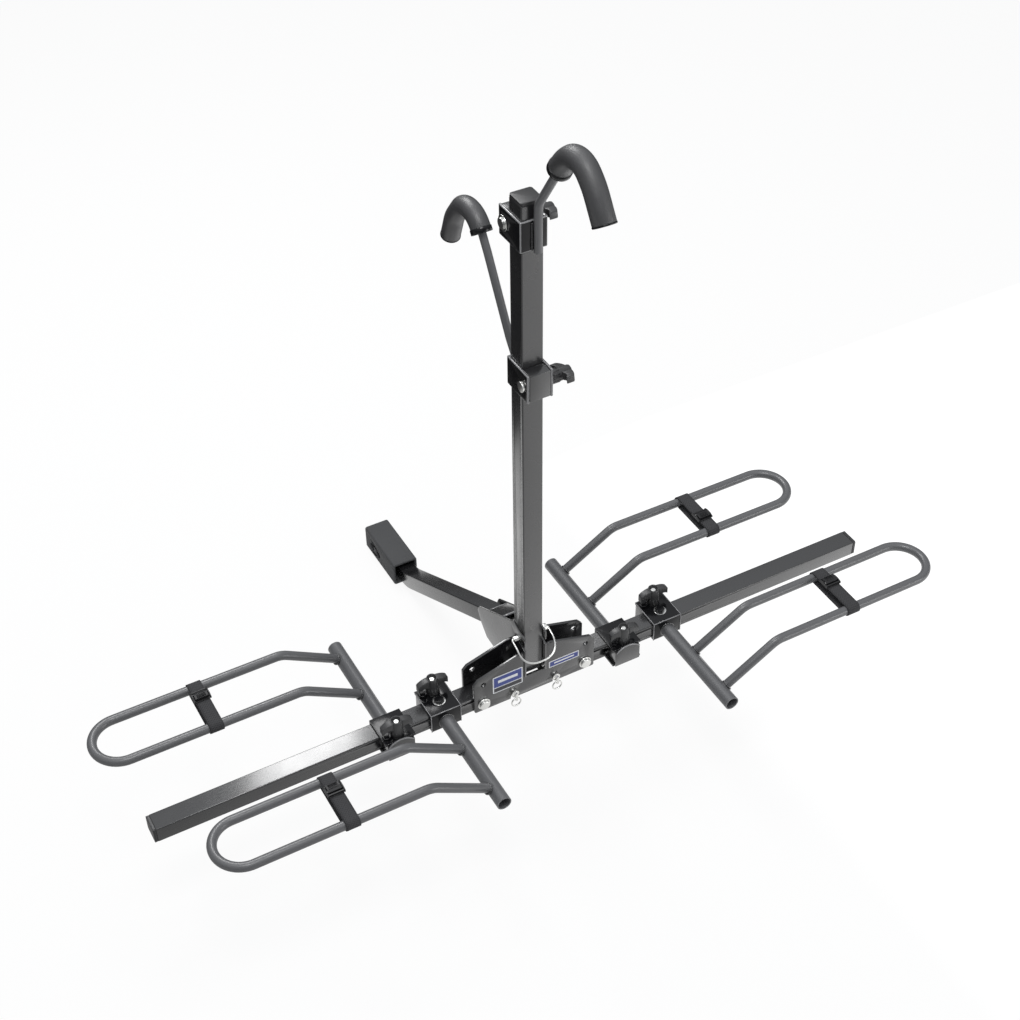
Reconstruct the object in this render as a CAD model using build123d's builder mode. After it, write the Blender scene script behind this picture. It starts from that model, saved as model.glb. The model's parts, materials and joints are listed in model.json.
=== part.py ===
from build123d import *
import math
import os

os.makedirs("parts", exist_ok=True)

# Lengths in millimetres. +X points to the right arm, +Y to the vehicle, +Z up.
# Shapes are drawn about the middle of the crossbar and saved about the hitch-pin hole.
TO_PIN_Y = -587
TO_PIN_Z = 162

# Crossbar halves
ARM_DEPTH = 35
ARM_HEIGHT = 30
ARM_WALL = 2.5
ARM_INNER = 26
ARM_END = 680
CAP_THICK = 5
PIVOT_X = 98.5
PIVOT_D = 12
STORE_HOLE = 45.5
LOCK_X = 40
LOCK_Z = -4
LOCK_D = 9.5
PIN_HEAD = 4
PIN_EYE = 5
RING_EYE_Z = -12.2
RING_R = 8.7
RING_WIRE = 2.6
RUN = 0.05

# Centre plates
PLATE_GAP = ARM_DEPTH + 0.6
PLATE_T = 5
PLATE_HALF = 116
PLATE_BOTTOM = -15.5
PEAK_Z = 81
PEAK_HALF = 33
NOTCH_BOTTOM = 24

# Mast and gussets
MAST = 35
MAST_WALL = 2.5
MAST_FOOT = 27
MAST_TOP = 935
MAST_PIVOT_Z = 44
MAST_LOCK_Z = 98
GUSSET_GAP = MAST + 0.6
GUSSET_T = 3
NOTCH_HALF = GUSSET_GAP / 2 + GUSSET_T + 0.1

# Shank and adapter sleeve
SHANK = 31.75
SHANK_WALL = 3
SHANK_Z = -162
SHANK_BEND = 70
SHANK_TILT = 30
SLOPE_REACH = 94
SHANK_START = 105
SHANK_END = 610
SLEEVE = 50.8
SLEEVE_WALL = 5
SLEEVE_Y0 = 486
SLEEVE_Y1 = 617
SLEEVE_SHIFT = 4.2
HITCH_HOLE_D = 16.3
HITCH_HOLES = (587, 560)

# Clamps, alike on crossbar and mast
STEEL = 4
FIT = 0.15
CLAMP_LONG = 55
CLAMP_REACH = 41
CLAMP_BOLT = 27.5
BOLT_D = 8
ARCH_TOP = 23
ARCH_DROP = 10
KNOB_HUB = 22
KNOB_LONG = 55
KNOB_THICK = 13
KNOB_TOP = 34.5

# Wheel hoops
TUBE_D = 25.4
TUBE_WALL = 2
TUBE_REACH = 223.6
TUBE_Z = -4
ROD_D = 16
LEG_NEAR = 96
LEG_FAR = 189.5
RISE_FROM = (2, -1.1)
RISE_TO = (108.5, 63.6)
LOOP_OUT = 405.6
STRAP_W = 24
HOOPS = {
    "left_far": (-1, 1, 262),
    "left_near": (-1, -1, 169),
    "right_near": (1, -1, 267),
    "right_far": (1, 1, 172),
}
STRAP_X = {
    "left_far": 524.9,
    "left_near": 415.4,
    "right_near": 530.95,
    "right_far": 433.7,
}
BUCKLE_SHARE = 0.33

# Frame hooks on the mast
HOOK_ROD_D = 12.5
UPPER_FOAM_D = 33
LOWER_FOAM_D = 31
UPPER_Z = (864, 913)
LOWER_Z = (617, 667)


def across(x):
    return Plane(origin=(x, 0, 0), x_dir=(0, 1, 0), z_dir=(1, 0, 0))


def facing(y):
    return Plane(origin=(0, y, 0), x_dir=(-1, 0, 0), z_dir=(0, 1, 0))


def level(z):
    return Plane.XY.offset(z)


def slab(plane, points, depth, mode=Mode.ADD, soft=0):
    with BuildSketch(plane) as outline:
        with BuildLine():
            Polyline(*points, close=True)
        make_face()
        if soft:
            fillet(outline.vertices(), soft)
    extrude(outline.sketch, amount=depth, mode=mode)


def front_slab(y, points, depth, mode=Mode.ADD, soft=0):
    turned = [(-x, z) for x, z in points]
    slab(facing(y), turned, depth, mode, soft)


def disc(plane, spot, diameter, depth, mode=Mode.ADD):
    with BuildSketch(plane) as outline:
        with Locations(spot):
            Circle(diameter / 2)
    extrude(outline.sketch, amount=depth, mode=mode)


def brick(x0, x1, y0, y1, z0, z1, mode=Mode.ADD):
    middle = ((x0 + x1) / 2, (y0 + y1) / 2, (z0 + z1) / 2)
    with Locations(middle):
        Box(abs(x1 - x0), abs(y1 - y0), abs(z1 - z0), mode=mode)


def bent_edges(points, radii):
    spots = [Vector(*point) for point in points]
    edges = []
    here = spots[0]
    for i in range(1, len(spots) - 1):
        before = (spots[i - 1] - spots[i]).normalized()
        after = (spots[i + 1] - spots[i]).normalized()
        half = math.radians(before.get_angle(after)) / 2
        reach = radii[i - 1] / math.tan(half)
        start = spots[i] + before * reach
        end = spots[i] + after * reach
        middle = (before + after).normalized()
        centre = spots[i] + middle * (radii[i - 1] / math.sin(half))
        crown = centre - middle * radii[i - 1]
        if (start - here).length > 0.01:
            edges.append(Edge.make_line(here, start))
        edges.append(Edge.make_three_point_arc(start, crown, end))
        here = end
    if (spots[-1] - here).length > 0.01:
        edges.append(Edge.make_line(here, spots[-1]))
    return edges


def bent(points, radii):
    return Wire(bent_edges(points, radii))


def rod(path, diameter, mode=Mode.ADD):
    start = Plane(origin=path @ 0, z_dir=path % 0)
    with BuildSketch(start) as section:
        Circle(diameter / 2)
    sweep(section.sketch, path=path, mode=mode)


def save(builder, name):
    piece = builder.part.moved(Location((0, TO_PIN_Y, TO_PIN_Z)))
    piece.label = name
    export_step(piece, f"parts/{name}.step")


# Bent shank, whose sloping part passes SLOPE_REACH from the middle of the crossbar
lean = math.radians(SHANK_TILT)
bend_y = (SLOPE_REACH - math.cos(lean) * SHANK_Z) / math.sin(lean)
start_z = (SLOPE_REACH - math.sin(lean) * SHANK_START) / math.cos(lean)
shank_line = bent(
    [(0, SHANK_START, start_z), (0, bend_y, SHANK_Z), (0, SHANK_END, SHANK_Z)],
    [SHANK_BEND],
)
with BuildPart() as shank:
    opening = Plane(origin=shank_line @ 0, x_dir=(1, 0, 0), z_dir=shank_line % 0)
    with BuildSketch(opening) as section:
        RectangleRounded(SHANK, SHANK, 3)
        Rectangle(SHANK - 2 * SHANK_WALL, SHANK - 2 * SHANK_WALL, mode=Mode.SUBTRACT)
    sweep(section.sketch, path=shank_line)
    for hole_y in HITCH_HOLES:
        disc(across(-30), (hole_y, SHANK_Z), HITCH_HOLE_D, 60, Mode.SUBTRACT)
save(shank, "shank_tube")

# Adapter sleeve over the end of the shank
sleeve_x = -SLEEVE_SHIFT
sleeve_z = SHANK_Z + SLEEVE_SHIFT
with BuildPart() as sleeve:
    with BuildSketch(facing(SLEEVE_Y0)) as section:
        with Locations((-sleeve_x, sleeve_z)):
            RectangleRounded(SLEEVE, SLEEVE, 5)
            RectangleRounded(SLEEVE - 2 * SLEEVE_WALL, SLEEVE - 2 * SLEEVE_WALL, 1, mode=Mode.SUBTRACT)
    extrude(section.sketch, amount=SLEEVE_Y1 - SLEEVE_Y0)
    for hole_y in HITCH_HOLES:
        disc(across(-40), (hole_y, SHANK_Z), HITCH_HOLE_D, 80, Mode.SUBTRACT)
save(sleeve, "adapter_sleeve")

# Gusset plates, welded through the centre plates and to the shank
GUSSET_LINE = [
    (144, 41), (139, 52), (28, 116), (14, 126), (-25, 115), (-25, 25), (26, 25),
    (26, 2), (87, -1), (112, 1), (132, 20),
]
PAD_LINE = [(109, 58), (136, 42), (128, 19), (103, 33)]
lock_arm = MAST_LOCK_Z - MAST_PIVOT_Z
with BuildPart() as gussets:
    for side in (-1, 1):
        inner = side * GUSSET_GAP / 2
        slab(across(inner), GUSSET_LINE, side * GUSSET_T)
        slab(across(side * (SHANK / 2 + 0.02)), PAD_LINE, side * (GUSSET_GAP / 2 - SHANK / 2 - 0.02))
    disc(across(-30), (0, MAST_PIVOT_Z), PIVOT_D + 2 * RUN, 60, Mode.SUBTRACT)
    disc(across(-30), (0, MAST_LOCK_Z), LOCK_D + 0.7, 60, Mode.SUBTRACT)
    slot = []
    for edge, turn in ((5.3, range(0, 43, 3)), (-5.3, range(42, -1, -3))):
        for angle in turn:
            reach = lock_arm + edge
            bearing = math.radians(angle)
            slot.append((-reach * math.sin(bearing), MAST_PIVOT_Z + reach * math.cos(bearing)))
    slab(across(-30), slot, 60, Mode.SUBTRACT)
save(gussets, "gussets")

# Tie plate between the gussets, over the open end of the shank
with BuildPart() as tie:
    tie_line = [(52, 98), (56, 100), (106, 71), (104, 67.5)]
    slab(across(-GUSSET_GAP / 2), tie_line, GUSSET_GAP)
save(tie, "tie_plate")

# Centre plates, one drawing for front and rear
plate_line = [
    (-PLATE_HALF, PLATE_BOTTOM), (PLATE_HALF, PLATE_BOTTOM), (PLATE_HALF, 50), (108, 59),
    (PEAK_HALF, PEAK_Z), (NOTCH_HALF, PEAK_Z), (NOTCH_HALF, NOTCH_BOTTOM),
    (-NOTCH_HALF, NOTCH_BOTTOM), (-NOTCH_HALF, PEAK_Z), (-PEAK_HALF, PEAK_Z),
    (-108, 59), (-PLATE_HALF, 50),
]
for name, start_y in (("front_plate", -PLATE_GAP / 2 - PLATE_T), ("rear_plate", PLATE_GAP / 2)):
    with BuildPart() as plate:
        front_slab(start_y, plate_line, PLATE_T)
        corners = plate.edges().filter_by(Axis.Y)
        fillet(corners.group_by(Axis.Z)[0], 3)
        for side in (-1, 1):
            disc(facing(start_y), (side * PIVOT_X, 0), PIVOT_D + 2 * RUN, PLATE_T, Mode.SUBTRACT)
            disc(facing(start_y), (side * PIVOT_X, STORE_HOLE), 10, PLATE_T, Mode.SUBTRACT)
            disc(facing(start_y), (side * LOCK_X, LOCK_Z), LOCK_D + 0.7, PLATE_T, Mode.SUBTRACT)
            notch = [
                (side * (LOCK_X - 5.1), LOCK_Z), (side * (LOCK_X + 5.1), LOCK_Z),
                (side * (LOCK_X + 8.6), -20), (side * (LOCK_X - 5.1), -20),
            ]
            front_slab(start_y, notch, PLATE_T, Mode.SUBTRACT)
    save(plate, name)

# Pivot bolts of the arms
head_y = PLATE_GAP / 2 + PLATE_T
with BuildPart() as arm_bolts:
    for side in (-1, 1):
        disc(facing(-head_y), (-side * PIVOT_X, 0), PIVOT_D, 2 * head_y)
        disc(facing(-head_y - 5), (-side * PIVOT_X, 0), 19, 5)
        disc(facing(head_y), (-side * PIVOT_X, 0), 19, 8)
save(arm_bolts, "arm_pivot_bolts")

# Pivot bolt of the mast
bolt_x = GUSSET_GAP / 2 + GUSSET_T
with BuildPart() as mast_bolt:
    disc(across(-bolt_x), (0, MAST_PIVOT_Z), PIVOT_D, 2 * bolt_x)
    disc(across(-bolt_x - 6), (0, MAST_PIVOT_Z), 19, 6)
    disc(across(bolt_x), (0, MAST_PIVOT_Z), 19, 9)
save(mast_bolt, "mast_pivot_bolt")

# Arms with cap, lock pin and ring
for name, side in (("left", -1), ("right", 1)):
    with BuildPart() as arm:
        outer = (ARM_DEPTH, ARM_HEIGHT)
        with BuildSketch(across(side * ARM_INNER)) as section:
            RectangleRounded(*outer, 2)
            Rectangle(outer[0] - 2 * ARM_WALL, outer[1] - 2 * ARM_WALL, mode=Mode.SUBTRACT)
        extrude(section.sketch, amount=side * (ARM_END - CAP_THICK - ARM_INNER))
        disc(facing(-30), (-side * PIVOT_X, 0), PIVOT_D + 2 * RUN, 60, Mode.SUBTRACT)
        disc(facing(-30), (-side * LOCK_X, LOCK_Z), LOCK_D + 2 * RUN, 60, Mode.SUBTRACT)
        disc(facing(-30), (-side * (PIVOT_X + STORE_HOLE), 0), 10, 60, Mode.SUBTRACT)
    save(arm, f"{name}_arm_tube")

    with BuildPart() as cap:
        x0 = side * (ARM_END - CAP_THICK)
        with BuildSketch(across(x0)) as section:
            RectangleRounded(ARM_DEPTH, ARM_HEIGHT, 3)
        extrude(section.sketch, amount=side * CAP_THICK)
        with BuildSketch(across(x0)) as plug:
            Rectangle(ARM_DEPTH - 2 * ARM_WALL - 0.2, ARM_HEIGHT - 2 * ARM_WALL - 0.2)
            Rectangle(ARM_DEPTH - 2 * ARM_WALL - 4, ARM_HEIGHT - 2 * ARM_WALL - 4, mode=Mode.SUBTRACT)
        extrude(plug.sketch, amount=-side * 14)
    save(cap, f"{name}_arm_end_cap")

    with BuildPart() as pin:
        spot = (-side * LOCK_X, LOCK_Z)
        x0 = side * LOCK_X
        eye_y = -head_y - PIN_HEAD - PIN_EYE / 2
        disc(facing(-head_y), spot, LOCK_D, 2 * head_y + 10)
        disc(facing(-head_y - PIN_HEAD), spot, 14, PIN_HEAD)
        brick(x0 - 2, x0 + 2, eye_y - PIN_EYE / 2, eye_y + PIN_EYE / 2, RING_EYE_Z - 4, LOCK_Z + 4)
        disc(across(x0 - 5), (eye_y, RING_EYE_Z), RING_WIRE + 1, 10, Mode.SUBTRACT)
    save(pin, f"{name}_arm_lock_pin")

    with BuildPart() as ring:
        with Locations((x0, eye_y, RING_EYE_Z - RING_R)):
            Torus(RING_R, RING_WIRE / 2, rotation=(90, 0, 0))
    save(ring, f"{name}_arm_pin_ring")

# Mast, cap, lock pin and wire bail
with BuildPart() as mast:
    with BuildSketch(level(MAST_FOOT)) as section:
        RectangleRounded(MAST, MAST, 2)
        Rectangle(MAST - 2 * MAST_WALL, MAST - 2 * MAST_WALL, mode=Mode.SUBTRACT)
    extrude(section.sketch, amount=MAST_TOP - MAST_FOOT)
    disc(across(-30), (0, MAST_PIVOT_Z), PIVOT_D + 2 * RUN, 60, Mode.SUBTRACT)
    disc(across(-30), (0, MAST_LOCK_Z), LOCK_D + 2 * RUN, 60, Mode.SUBTRACT)
save(mast, "mast_tube")

with BuildPart() as mast_cap:
    with BuildSketch(level(MAST_TOP)) as section:
        RectangleRounded(MAST, MAST, 4)
    extrude(section.sketch, amount=4)
    with BuildSketch(level(MAST_TOP)) as plug:
        Rectangle(MAST - 2 * MAST_WALL - 0.2, MAST - 2 * MAST_WALL - 0.2)
        Rectangle(MAST - 2 * MAST_WALL - 4, MAST - 2 * MAST_WALL - 4, mode=Mode.SUBTRACT)
    extrude(plug.sketch, amount=-14)
save(mast_cap, "mast_cap")

WIRE_D = 3.5
PIN_LEFT = -28
PIN_RIGHT = 34
with BuildPart() as lock_pin:
    disc(across(PIN_LEFT), (0, MAST_LOCK_Z), LOCK_D, PIN_RIGHT - PIN_LEFT)
    disc(across(PIN_RIGHT - 7), (0, MAST_LOCK_Z), 13, 7)
    disc(across(PIN_LEFT), (0, MAST_LOCK_Z), WIRE_D + 2 * RUN, 6, Mode.SUBTRACT)
    disc(across(PIN_RIGHT - 6), (0, MAST_LOCK_Z), WIRE_D + 2 * RUN, 6, Mode.SUBTRACT)
save(lock_pin, "mast_lock_pin")

with BuildPart() as bail:
    left = PIN_LEFT - 3
    right = PIN_RIGHT + 3
    wire = bent(
        [
            (PIN_LEFT + 5, 0, MAST_LOCK_Z), (left, 0, MAST_LOCK_Z), (left, -18, 91),
            (left, -42, 69), (right, -42, 69), (right, -18, 91),
            (right, 0, MAST_LOCK_Z), (PIN_RIGHT - 5, 0, MAST_LOCK_Z),
        ],
        [2.6, 8, 12, 12, 8, 2.6],
    )
    rod(wire, WIRE_D)
save(bail, "wire_bail")


def knob_at(plane, foot):
    base = plane.offset(foot)
    disc(base, (0, 0), KNOB_HUB, KNOB_TOP - 12)
    half = KNOB_LONG / 2
    right_half = [
        (0, KNOB_TOP - 21), (10.5, KNOB_TOP - 20), (13, KNOB_TOP - 16.5), (17.5, KNOB_TOP - 15.5),
        (half - 5, KNOB_TOP - 18.5), (half, KNOB_TOP - 20.5), (half, KNOB_TOP - 8.5),
        (half - 3.5, KNOB_TOP - 4.6), (15, KNOB_TOP - 1.6), (8, KNOB_TOP),
    ]
    wing = right_half[1:] + [(-u, w) for u, w in reversed(right_half[1:])]
    upright = Plane(
        origin=base.origin - base.y_dir * (KNOB_THICK / 2), x_dir=base.x_dir, z_dir=base.y_dir
    )
    turned = [(u, -w) for u, w in wing]
    slab(upright, turned, KNOB_THICK)
    disc(base, (0, 0), BOLT_D + 2 * RUN, KNOB_TOP - 5, Mode.SUBTRACT)
    disc(base.offset(KNOB_TOP - 6), (0, 0), 15, 10, Mode.SUBTRACT)


# Wheel hoops
for name, (side, tube, centre) in HOOPS.items():
    x0 = side * centre
    x_low = x0 - CLAMP_LONG / 2
    x_high = x0 + CLAMP_LONG / 2
    wall = ARM_DEPTH / 2 + FIT
    top = ARM_HEIGHT / 2 + FIT
    open_y = -tube * CLAMP_BOLT

    with BuildPart() as bracket:
        channel = [
            (tube * wall, -top - STEEL), (tube * (wall + STEEL), -top - STEEL),
            (tube * (wall + STEEL), top + STEEL), (-tube * CLAMP_REACH, top + STEEL),
            (-tube * CLAMP_REACH, top), (tube * wall, top), (tube * wall, -top),
            (-tube * CLAMP_REACH, -top), (-tube * CLAMP_REACH, -top - STEEL),
        ]
        slab(across(x_low), channel, CLAMP_LONG)
        disc(level(-40), (x0, open_y), BOLT_D + 0.6, 80, Mode.SUBTRACT)
        stub_y = wall + STEEL - 0.5
        stub = facing(tube * stub_y)
        disc(stub, (-x0, TUBE_Z), TUBE_D, tube * (TUBE_REACH - stub_y))
        disc(stub.offset(tube * 0.6), (-x0, TUBE_Z), TUBE_D - 2 * TUBE_WALL, tube * (TUBE_REACH - stub_y), Mode.SUBTRACT)
        for leg in (LEG_NEAR, LEG_FAR):
            climb = Wire([
                Edge.make_line(
                    (x0 + side * RISE_FROM[0], tube * leg, RISE_FROM[1]),
                    (x0 + side * RISE_TO[0], tube * leg, RISE_TO[1]),
                )
            ])
            rod(climb, ROD_D + 0.04, Mode.SUBTRACT)
    save(bracket, f"{name}_bracket")

    with BuildPart() as jaw:
        inner = ARM_DEPTH / 2 + 0.4
        half = CLAMP_LONG / 2 - 3.5
        y_in = -tube * inner
        y_face = -tube * (CLAMP_REACH + 0.3)
        y_out = -tube * (CLAMP_REACH + 3.3)
        brick(x0 - half, x0 + half, y_in, y_face, -top + 0.25, top - 0.25)
        foot = -top - STEEL + 1
        face_line = [(x0 - half, foot), (x0 + half, foot)]
        for i in range(13):
            along = 1 - i / 6
            arch = ARCH_TOP - ARCH_DROP * abs(along) ** 2.2
            face_line.append((x0 + half * along, arch))
        front_slab(min(y_face, y_out), face_line, 3)
        y_core = -tube * (CLAMP_REACH - 3)
        brick(x0 - half + 3, x0 + half - 3, -tube * 33, y_core, -top - 1, top - 3, Mode.SUBTRACT)
        disc(level(-30), (x0, open_y), BOLT_D + 0.6, 60, Mode.SUBTRACT)
    save(jaw, f"{name}_jaw")

    with BuildPart() as bolt:
        disc(level(-top - STEEL), (x0, open_y), BOLT_D, 2 * top + 2 * STEEL + KNOB_TOP - 4)
        disc(level(-top - STEEL - 4.5), (x0, open_y), 17, 4.5)
        disc(level(top + STEEL), (x0 - 19, open_y), 10, 3.5)
        disc(level(top + STEEL), (x0, open_y + tube * 24), 12, 2.5)
    save(bolt, f"{name}_clamp_bolt")

    with BuildPart() as knob:
        knob_at(Plane(origin=(x0, open_y, 0)), top + STEEL + 0.3)
    save(knob, f"{name}_knob")

    with BuildPart() as loop:
        x_foot = x0 + side * RISE_FROM[0]
        x_rise = x0 + side * RISE_TO[0]
        mid = (LEG_NEAR + LEG_FAR) / 2
        reach = (LEG_FAR - LEG_NEAR) / 2
        x_tip = x0 + side * (LOOP_OUT + reach)
        level_z = RISE_TO[1]
        frame_line = bent(
            [
                (x_foot, tube * LEG_NEAR, RISE_FROM[1]), (x_rise, tube * LEG_NEAR, level_z),
                (x_tip, tube * LEG_NEAR, level_z), (x_tip, tube * LEG_FAR, level_z),
                (x_rise, tube * LEG_FAR, level_z), (x_foot, tube * LEG_FAR, RISE_FROM[1]),
            ],
            [40, reach - 0.02, reach - 0.02, 40],
        )
        rod(frame_line, ROD_D)
    save(loop, f"{name}_loop_rod")

    ends = sorted((tube * LEG_NEAR, tube * LEG_FAR))
    strap_x = side * STRAP_X[name]
    grip = ROD_D / 2
    y0, y1 = ends
    with BuildPart() as strap:
        outer = [
            (y0 - grip - 2.1, level_z - 6), (y0 - grip - 2.1, level_z + 6), (y0 - 6, level_z + grip + 2.1),
            (y1 + 6, level_z + grip + 2.1), (y1 + grip + 2.1, level_z + 6), (y1 + grip + 2.1, level_z - 6),
            (y1 + 6, level_z - grip - 2.1), (y0 - 6, level_z - grip - 2.1),
        ]
        slab(across(strap_x - STRAP_W / 2), outer, STRAP_W)
        hollow = [
            (y0 - 4, level_z - grip - 0.3), (y0 - 4, level_z + grip + 0.3),
            (y1 + 4, level_z + grip + 0.3), (y1 + 4, level_z - grip - 0.3),
        ]
        slab(across(strap_x - STRAP_W / 2), hollow, STRAP_W, Mode.SUBTRACT)
        for spot in ends:
            disc(across(strap_x - STRAP_W / 2), (spot, level_z), ROD_D + 0.6, STRAP_W, Mode.SUBTRACT)
    save(strap, f"{name}_strap")

    from_leg = LEG_NEAR if name == "right_far" else LEG_FAR
    to_leg = LEG_NEAR + LEG_FAR - from_leg
    if tube < 0:
        from_leg, to_leg = to_leg, from_leg
    buckle_y = tube * (from_leg + BUCKLE_SHARE * (to_leg - from_leg))
    with BuildPart() as buckle:
        z0 = level_z + grip + 2.2
        brick(strap_x - 15, strap_x + 15, buckle_y - 14, buckle_y + 14, z0, z0 + 4.5)
        lift = [(buckle_y - 9, z0 + 4.5), (buckle_y + 12, z0 + 4.5), (buckle_y + 12, z0 + 5.5), (buckle_y - 7, z0 + 8.5)]
        slab(across(strap_x - 11), lift, 22)
        fillet(buckle.edges().filter_by(Axis.Z), 1.2)
    save(buckle, f"{name}_buckle")

# Frame hooks
UPPER_ROD = [
    (3, -27.95, 864), (3, -27.95, 938), (3, -81, 1016), (3, -95, 1038), (3, -120, 1058),
    (3, -146, 1058), (3, -170, 1038), (3, -197, 996.5),
]
UPPER_BENDS = [40, 200, 90, 36, 36, 90]
LOWER_ROD = [
    (0, 27.95, 619), (0, 27.95, 640), (0, 52, 672), (0, 116, 783), (0, 131, 806), (0, 148, 829),
    (0, 188, 829), (0, 220, 789), (0, 236.5, 747),
]
LOWER_BENDS = [30, 30, 120, 60, 38, 38, 60]
HOOKS = {
    "upper": (-1, UPPER_Z, UPPER_ROD, UPPER_BENDS, UPPER_FOAM_D, 1016),
    "lower": (1, LOWER_Z, LOWER_ROD, LOWER_BENDS, LOWER_FOAM_D, 806),
}
for name, (back, (z0, z1), spots, bends, foam_d, foam_z) in HOOKS.items():
    wall = MAST / 2 + FIT
    bolt_y = -back * 26.5
    bolt_z = (z0 + z1) / 2
    with BuildPart() as bracket:
        channel = [
            (-wall - STEEL, back * (wall + STEEL)), (wall + STEEL, back * (wall + STEEL)),
            (wall + STEEL, -back * 40), (wall, -back * 40), (wall, back * wall),
            (-wall, back * wall), (-wall, -back * 40), (-wall - STEEL, -back * 40),
        ]
        slab(level(z0), channel, z1 - z0)
        disc(across(-30), (bolt_y, bolt_z), BOLT_D + 0.6, 60, Mode.SUBTRACT)
    save(bracket, f"{name}_hook_bracket")

    with BuildPart() as jaw:
        inner = MAST / 2 + 0.4
        y_in = -back * inner
        y_face = -back * 39.7
        half = MAST / 2 - 0.2
        brick(-half, half, y_in, y_face, z0 + 2, z1 - 2)
        brick(-half + 3, half - 3, -back * 32, -back * 36.5, z0 - 5, z1 - 5, Mode.SUBTRACT)
        disc(across(-30), (bolt_y, bolt_z), BOLT_D + 0.6, 60, Mode.SUBTRACT)
    save(jaw, f"{name}_hook_jaw")

    with BuildPart() as bolt:
        disc(across(-wall - STEEL), (bolt_y, bolt_z), BOLT_D, 2 * wall + 2 * STEEL + KNOB_TOP - 4)
        disc(across(-wall - STEEL - 4.5), (bolt_y, bolt_z), 17, 4.5)
    save(bolt, f"{name}_hook_clamp_bolt")

    with BuildPart() as knob:
        knob_plane = Plane(origin=(0, bolt_y, bolt_z), x_dir=(0, -0.975, 0.225), z_dir=(1, 0, 0))
        knob_at(knob_plane, wall + STEEL + 0.3)
    save(knob, f"{name}_hook_knob")

    runs = bent_edges(spots, bends)
    with BuildPart() as hook:
        rod(Wire(runs), HOOK_ROD_D)
    save(hook, f"{name}_hook_rod")

    first = next(i for i, run in enumerate(runs) if (run @ 0).Z > foam_z)
    covered = Wire(runs[first:])
    with BuildPart() as foam:
        rod(covered, foam_d)
        rod(covered, HOOK_ROD_D + 0.1, Mode.SUBTRACT)
    save(foam, f"{name}_hook_foam")
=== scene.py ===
# %% [markdown]
# A bicycle rack for a tow hitch, dressed for its picture. The measured solids come in as a frame
# that never moves, and every piece made here is hung on one of its bodies. All lengths are metres,
# the origin is the hitch-pin hole, X runs along the crossbar, Y into the vehicle and Z up the mast.

# %% Load the frame
import json
import math

import bmesh
import bpy
from mathutils import Matrix, Vector


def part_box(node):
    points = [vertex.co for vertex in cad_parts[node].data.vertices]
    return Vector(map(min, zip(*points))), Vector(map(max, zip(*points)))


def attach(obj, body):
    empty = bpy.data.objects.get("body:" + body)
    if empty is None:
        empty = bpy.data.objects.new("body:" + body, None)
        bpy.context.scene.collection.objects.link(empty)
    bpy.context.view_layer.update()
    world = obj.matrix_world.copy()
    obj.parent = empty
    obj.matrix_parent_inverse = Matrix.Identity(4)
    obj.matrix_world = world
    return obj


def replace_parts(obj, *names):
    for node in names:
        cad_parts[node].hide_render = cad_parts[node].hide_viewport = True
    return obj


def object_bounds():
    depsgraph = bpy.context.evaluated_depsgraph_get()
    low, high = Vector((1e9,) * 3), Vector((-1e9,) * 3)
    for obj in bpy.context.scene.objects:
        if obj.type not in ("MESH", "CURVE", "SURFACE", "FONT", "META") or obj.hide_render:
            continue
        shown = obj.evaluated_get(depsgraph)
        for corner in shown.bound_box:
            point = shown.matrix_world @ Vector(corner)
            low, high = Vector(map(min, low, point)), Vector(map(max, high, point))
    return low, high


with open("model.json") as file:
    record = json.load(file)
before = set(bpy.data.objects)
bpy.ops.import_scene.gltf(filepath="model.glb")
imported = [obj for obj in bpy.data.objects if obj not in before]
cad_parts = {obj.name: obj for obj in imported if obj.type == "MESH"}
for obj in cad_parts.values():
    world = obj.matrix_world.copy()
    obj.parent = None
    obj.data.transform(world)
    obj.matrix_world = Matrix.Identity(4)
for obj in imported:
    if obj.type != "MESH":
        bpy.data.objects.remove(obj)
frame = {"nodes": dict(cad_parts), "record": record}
nodes = frame["nodes"]
cad_low, cad_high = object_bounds()

# %% [markdown]
# Sizes could be typed in again here, but they would drift from the solids. They are read back from
# the solids' boxes instead, so a piece made here always lands on the part that carries it. The
# middle of the crossbar is found from an arm tube, and most places are told as steps from it.

# %% Places taken from the frame
HOOP_SIDES = {
    "left_far": (-1, 1),
    "left_near": (-1, -1),
    "right_near": (1, -1),
    "right_far": (1, 1),
}


def box_of(node):
    return [Vector(corner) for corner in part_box(node)]


arm_low, arm_high = box_of("right_arm_tube")
BAR_Y = (arm_low.y + arm_high.y) / 2
BAR_Z = (arm_low.z + arm_high.z) / 2
print("crossbar axis at y %.4f z %.4f" % (BAR_Y, BAR_Z))

# %% [markdown]
# The camera stands high on the left of the rack, with a long lens. It could be placed by eye, but
# then no size could be compared, so its place and its lens come from fitting the straight tubes of
# the photograph. The small roll comes out of the same fit.

# %% Camera
CAMERA_AT = Vector((-0.9728, BAR_Y - 1.7528, BAR_Z + 2.1415))
LOOKS_AT = Vector((-0.0314, BAR_Y, BAR_Z + 0.3874))
ROLL = math.radians(-0.8)
view_data = bpy.data.cameras.new("photo view")
view_data.sensor_width = 36
view_data.lens = 60.23
view_data.clip_end = 50
camera = bpy.data.objects.new("photo view", view_data)
scene = bpy.context.scene
scene.collection.objects.link(camera)
camera.location = CAMERA_AT
sight = (LOOKS_AT - CAMERA_AT).to_track_quat("-Z", "Y").to_matrix()
camera.rotation_euler = (sight @ Matrix.Rotation(ROLL, 3, "Z")).to_euler()
scene.camera = camera
print("camera to target %.3f m" % (LOOKS_AT - CAMERA_AT).length)

# %% [markdown]
# A shader is a small net of nodes, and most nets here need the same two steps: one sum on two
# values, and one range carried over to another. Two helpers make these steps, and a third lets each
# of their sockets take either a plain number or another node's output.

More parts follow.
